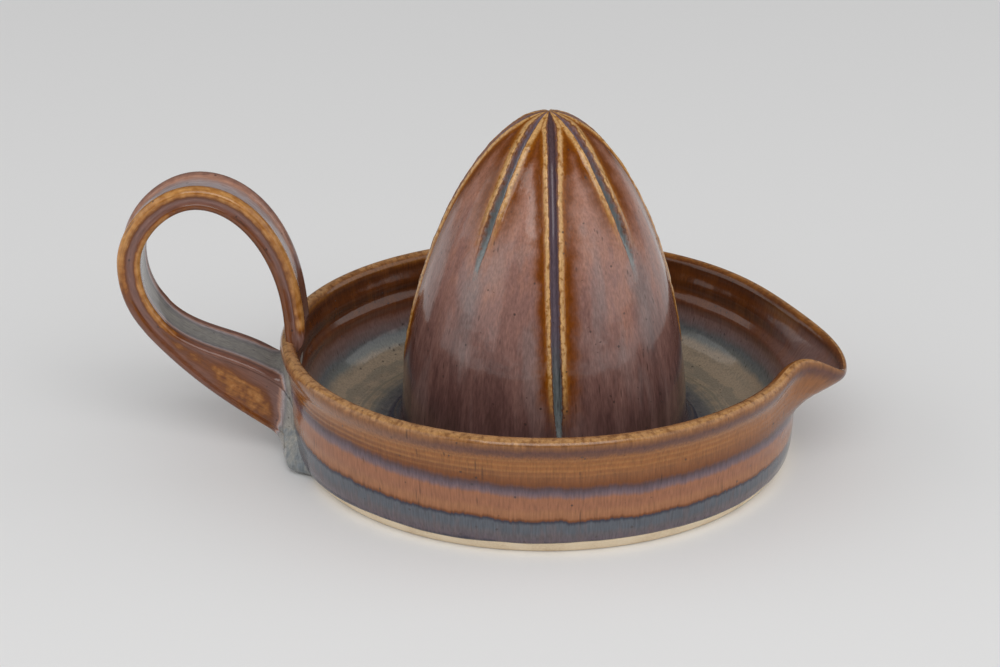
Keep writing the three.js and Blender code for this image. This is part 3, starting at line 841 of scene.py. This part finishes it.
glaze_stops = [
    (0.0, (0.53, 0.265, 0.085)), (0.10, (0.41, 0.18, 0.048)), (0.19, (0.29, 0.105, 0.018)),
    (0.27, umber), (0.34, (0.16, 0.056, 0.026)), (0.44, (0.185, 0.084, 0.060)),
    (0.53, (0.188, 0.094, 0.076)), (0.60, (0.40, 0.21, 0.145)), (0.65, (0.37, 0.25, 0.22)),
    (0.71, (0.40, 0.33, 0.33)), (0.80, (0.20, 0.19, 0.19)), (0.93, (0.35, 0.33, 0.285)),
    (1.0, (0.155, 0.175, 0.19)),
]
handle_glaze = glazed("handle_look", handle_tone.ramp(glaze_stops), handle_wire, handle_flow)
strap.data.materials.append(handle_glaze)
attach(strap, "root")
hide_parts("handle_strap", "handle_rim_joint")

# Wall pad: soft clay wiped round the strap's root and drawn down the wall into a blunt tail.
# The glaze ran together there, so it is thick, pale and blue-grey.
pad_rows = 90
pad_columns = 100
pad_half = 28
pad_foot = 0.7
pad_tall = 28.3
pad_sunk = 1.5
pad_rings = []
pad_tone = []
pad_flow = []
for i in range(pad_rows + 1):
    height = pad_foot + pad_tall * i / pad_rows
    wall = wall_radius(height)
    ring = []
    tone_ring = []
    flow_ring = []
    for j in range(pad_columns + 1):
        across = -pad_half + 2 * pad_half * j / pad_columns
        radius = wall - 0.1 + pad_rise(across, height)
        turn = across / wall
        ring.append((axis_x - radius * math.cos(turn), radius * math.sin(turn), height))
        tone_ring.append(0.91 + 0.07 * max(smooth(9 - height, 0, 6), smooth(-across, 5, 13)))
        flow_ring.append((radius * math.cos(turn), radius * math.sin(turn), height / 9))
    deep = wall - pad_sunk
    for j in range(pad_half + 1):
        turn = (pad_half - 2 * j) / wall
        ring.append((axis_x - deep * math.cos(turn), deep * math.sin(turn), height))
        tone_ring.append(0.92)
        flow_ring.append((0.0, 0.0, 0.0))
    pad_rings.append(ring)
    pad_tone.append(tone_ring)
    pad_flow.append(flow_ring)
pad = skin("wiped_pad", pad_rings, {"glaze": pad_tone, "flow": pad_flow}, False)
pad.data.materials.append(handle_glaze)
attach(pad, "root")
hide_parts("handle_wall_pad")

# Studio: a pale plain table under the pot, a soft light on each side and a brighter one in front, above.
# The camera stands in front of the pot and looks down at it, as in the photo.
floor_wire = blank("studio_floor")
floor_shader = floor_wire.tree.nodes["Principled BSDF"]
floor_shader.inputs["Base Color"].default_value = (0.81, 0.81, 0.81, 1.0)
floor_shader.inputs["Roughness"].default_value = 0.9
floor_shader.inputs["Specular IOR Level"].default_value = 0.1
bpy.ops.mesh.primitive_plane_add(size=8)
floor = bpy.context.object
floor.name = "studio_floor"
floor.data.materials.append(bpy.data.materials["studio_floor"])


def soft_light(name, place, width, height, power):
    lamp = bpy.data.lights.new(name, "AREA")
    lamp.shape = "RECTANGLE"
    lamp.size = width
    lamp.size_y = height
    lamp.energy = power
    holder = bpy.data.objects.new(name, lamp)
    bpy.context.collection.objects.link(holder)
    holder.location = place
    aim = Vector((axis_x * mm, 0, 0.04)) - Vector(place)
    holder.rotation_euler = aim.to_track_quat("-Z", "Y").to_euler()


soft_light("left_box", (-1.25, -0.26, 0.62), 2.1, 1.1, 6)
soft_light("right_box", (1.25, -0.18, 0.62), 2.1, 1.1, 6.5)
soft_light("front_box", (0.1, -1.3, 1.35), 1.8, 1.0, 15.5)

world = bpy.data.worlds.new("studio_air")
world.use_nodes = True
world.node_tree.nodes["Background"].inputs["Color"].default_value = (0.8, 0.8, 0.8, 1.0)
world_wire = Wire(world.node_tree)
mirrored = world_wire.node("ShaderNodeLightPath", {}, {}, "Is Glossy Ray")
dimmed = 0.5 - mirrored * 0.38
world.node_tree.links.new(dimmed.socket, world.node_tree.nodes["Background"].inputs["Strength"])
bpy.context.scene.world = world

lens = bpy.data.cameras.new("camera")
lens.lens = 108
lens.sensor_width = 36
camera = bpy.data.objects.new("camera", lens)
bpy.context.collection.objects.link(camera)
camera.location = (axis_x * mm, -0.73664, 0.34308)
camera.rotation_euler = (math.radians(67.148), 0, math.radians(0.892))
bpy.context.scene.camera = camera
bpy.context.scene.view_settings.view_transform = "Standard"
